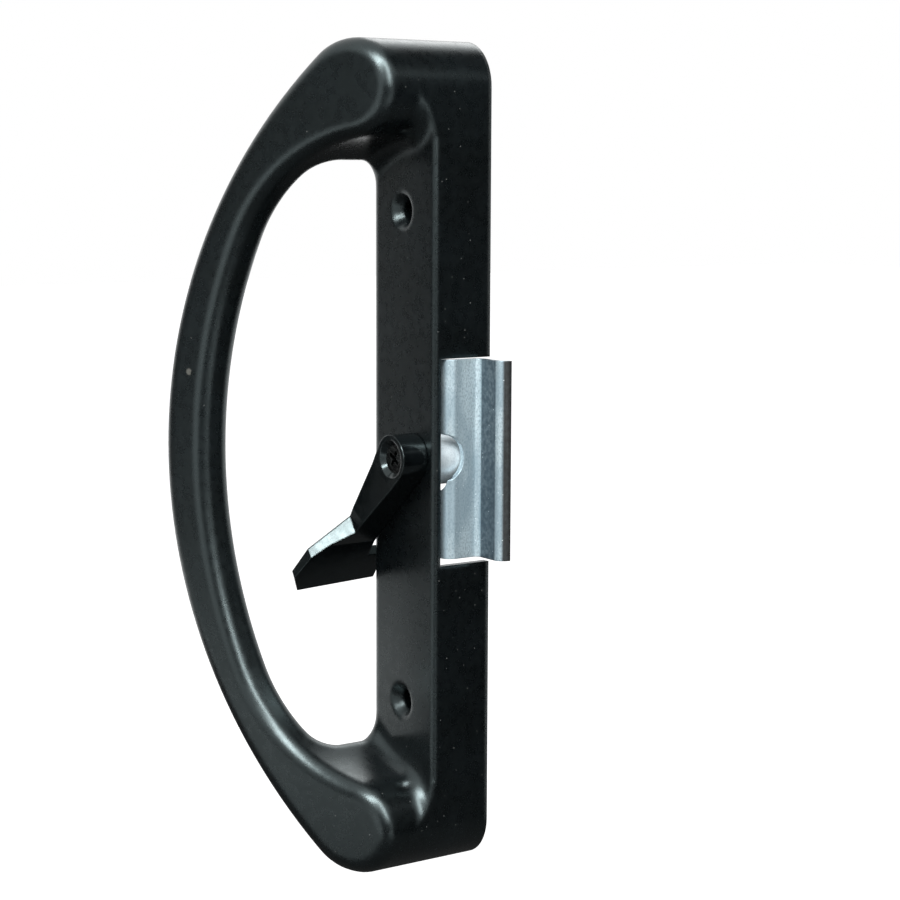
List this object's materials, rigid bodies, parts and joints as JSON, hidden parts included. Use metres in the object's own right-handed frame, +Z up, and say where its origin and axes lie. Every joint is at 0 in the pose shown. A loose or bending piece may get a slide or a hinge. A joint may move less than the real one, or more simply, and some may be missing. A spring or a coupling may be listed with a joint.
{
  "type": "sliding patio door handle",
  "caption": "Cast D-shaped pull for a sliding patio door, with a turning thumb lever on its bar that draws in a bent latch plate.",
  "frame": {"origin": "midway between the two fixing screws, on the face that meets the door", "axes": "-Y into the room, +Y into the door, +X towards the jamb, +Z up"},
  "size_m": [0.0769, 0.0582, 0.2096],
  "materials": {
    "black_paint": "satin black paint on a casting, lightly dusty",
    "dark_steel": "blackened screw",
    "zinc_plate": "bright zinc plated sheet, faintly spotted",
    "spring_steel": "plain spring steel"
  },
  "bodies": {
    "handle": {"handle_body": "black_paint", "guide_clips": "spring_steel"},
    "lever": {"thumb_lever": "black_paint", "lever_screw": "dark_steel", "spindle_cam": "zinc_plate"},
    "latch": {"latch_plate": "zinc_plate"}
  },
  "joints": [
    {"name": "lever_turn", "type": "hinge", "parent": "handle", "child": "lever", "pos_m": [0.0059, 0, 0.0012], "axis": [0, 1, 0], "range_deg": [0, 90]},
    {"name": "latch_slide", "type": "slide", "parent": "handle", "child": "latch", "axis": [-1, 0, 0], "range_m": [0, 0.00219]}
  ],
  "couplings": [
    {"joint": "latch_slide", "follows": "lever_turn", "m_per_rad": 0.0013914}
  ]
}
